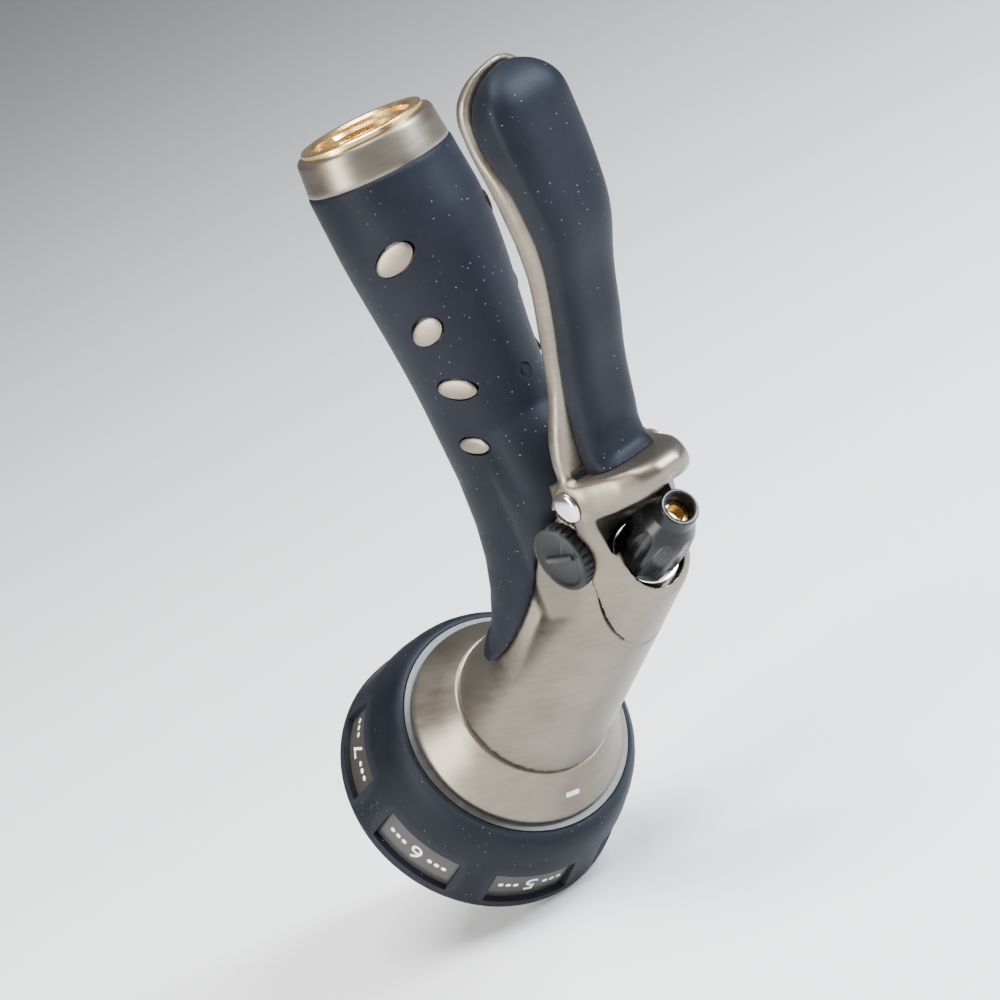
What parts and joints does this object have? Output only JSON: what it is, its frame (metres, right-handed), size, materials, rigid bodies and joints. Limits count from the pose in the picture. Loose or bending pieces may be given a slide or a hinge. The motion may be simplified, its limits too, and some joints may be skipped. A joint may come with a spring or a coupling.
{
  "type": "hose spray nozzle",
  "caption": "Pistol-grip garden hose spray nozzle with rear squeeze lever, flow knob, lock wheel and a rotating dial of spray patterns in a rubber bezel.",
  "frame": {"origin": "centre of the inlet thread's mouth, level with the top face of the metal collar", "axes": "+Z out of the inlet along the grip, +X to the spray side, +Y the nozzle's left, the lock wheel's side"},
  "size_m": [0.1819, 0.0832, 0.2381],
  "materials": {
    "champagne_metal": "satin champagne nickel",
    "grip_rubber": "matte, slight blue sheen",
    "lever_rubber": "matte, slight blue sheen",
    "bezel_rubber": "matte",
    "knob_plastic": "gloss black",
    "wheel_plastic": "semi-gloss black",
    "dial_plastic": "satin black",
    "label_dark": "satin dark grey",
    "mark_white": "painted white",
    "brass": "machined",
    "nickel": "polished nickel",
    "steel": "plain",
    "seal_rubber": "matte",
    "nylon": "natural",
    "insert_metal": "satin"
  },
  "bodies": {
    "body": {"body_casting": "champagne_metal", "grip_cover": "grip_rubber", "inlay_left_1": "champagne_metal", "inlay_left_2": "champagne_metal", "inlay_left_3": "champagne_metal", "inlay_left_4": "champagne_metal", "inlay_right_1": "champagne_metal", "inlay_right_2": "champagne_metal", "inlay_right_3": "champagne_metal", "inlay_right_4": "champagne_metal", "flange_ring": "champagne_metal", "index_mark": "mark_white", "inlet_bush": "brass", "inlet_washer": "seal_rubber", "valve_seat": "nylon", "gland_nut": "brass", "stem_packing": "seal_rubber", "port_plate": "nylon", "port_gasket": "seal_rubber", "centre_screw": "steel", "detent_ball": "steel", "detent_spring": "steel", "pivot_pin": "nickel", "pin_clip": "steel"},
    "lever": {"lever_frame": "champagne_metal", "lever_pad": "lever_rubber"},
    "valve": {"valve_stem": "brass", "plunger": "brass", "plunger_seal": "seal_rubber", "plunger_nut": "brass", "return_spring": "steel", "thrust_washer": "nickel"},
    "knob": {"flow_knob": "knob_plastic", "knob_insert": "brass"},
    "lock": {"lock_wheel": "wheel_plastic", "lock_shaft": "steel"},
    "dial": {"dial_body": "dial_plastic", "bezel_grip": "bezel_rubber", "label_band": "label_dark", "face_plate": "dial_plastic", "insert_1": "insert_metal", "insert_2": "insert_metal", "insert_3": "insert_metal", "insert_4": "insert_metal", "insert_5": "insert_metal", "insert_6": "insert_metal", "insert_7": "insert_metal"}
  },
  "joints": [
    {"name": "lever_squeeze", "type": "hinge", "parent": "body", "child": "lever", "pos_m": [-0.033, 0, -0.1047], "axis": [0, 1, 0], "range_deg": [0, 12], "stiffness_Nm_per_rad": 3, "springref_deg": -17.19},
    {"name": "valve_slide", "type": "slide", "parent": "body", "child": "valve", "axis": [-0.8829, 0, 0.4695], "range_m": [0, 0.00434]},
    {"name": "knob_turn", "type": "hinge", "parent": "valve", "child": "knob", "pos_m": [0.011, 0, -0.15], "axis": [0.8829, 0, -0.4695], "range_deg": [-180, 180]},
    {"name": "lock_turn", "type": "hinge", "parent": "body", "child": "lock", "pos_m": [-0.0225, 0, -0.118], "axis": [0, 1, 0], "range_deg": [0, 90]},
    {"name": "dial_turn", "type": "hinge", "parent": "body", "child": "dial", "pos_m": [0.011, 0, -0.15], "axis": [0.8829, 0, -0.4695], "continuous": true}
  ],
  "couplings": [
    {"joint": "valve_slide", "follows": "lever_squeeze", "m_per_rad": 0.0207}
  ]
}
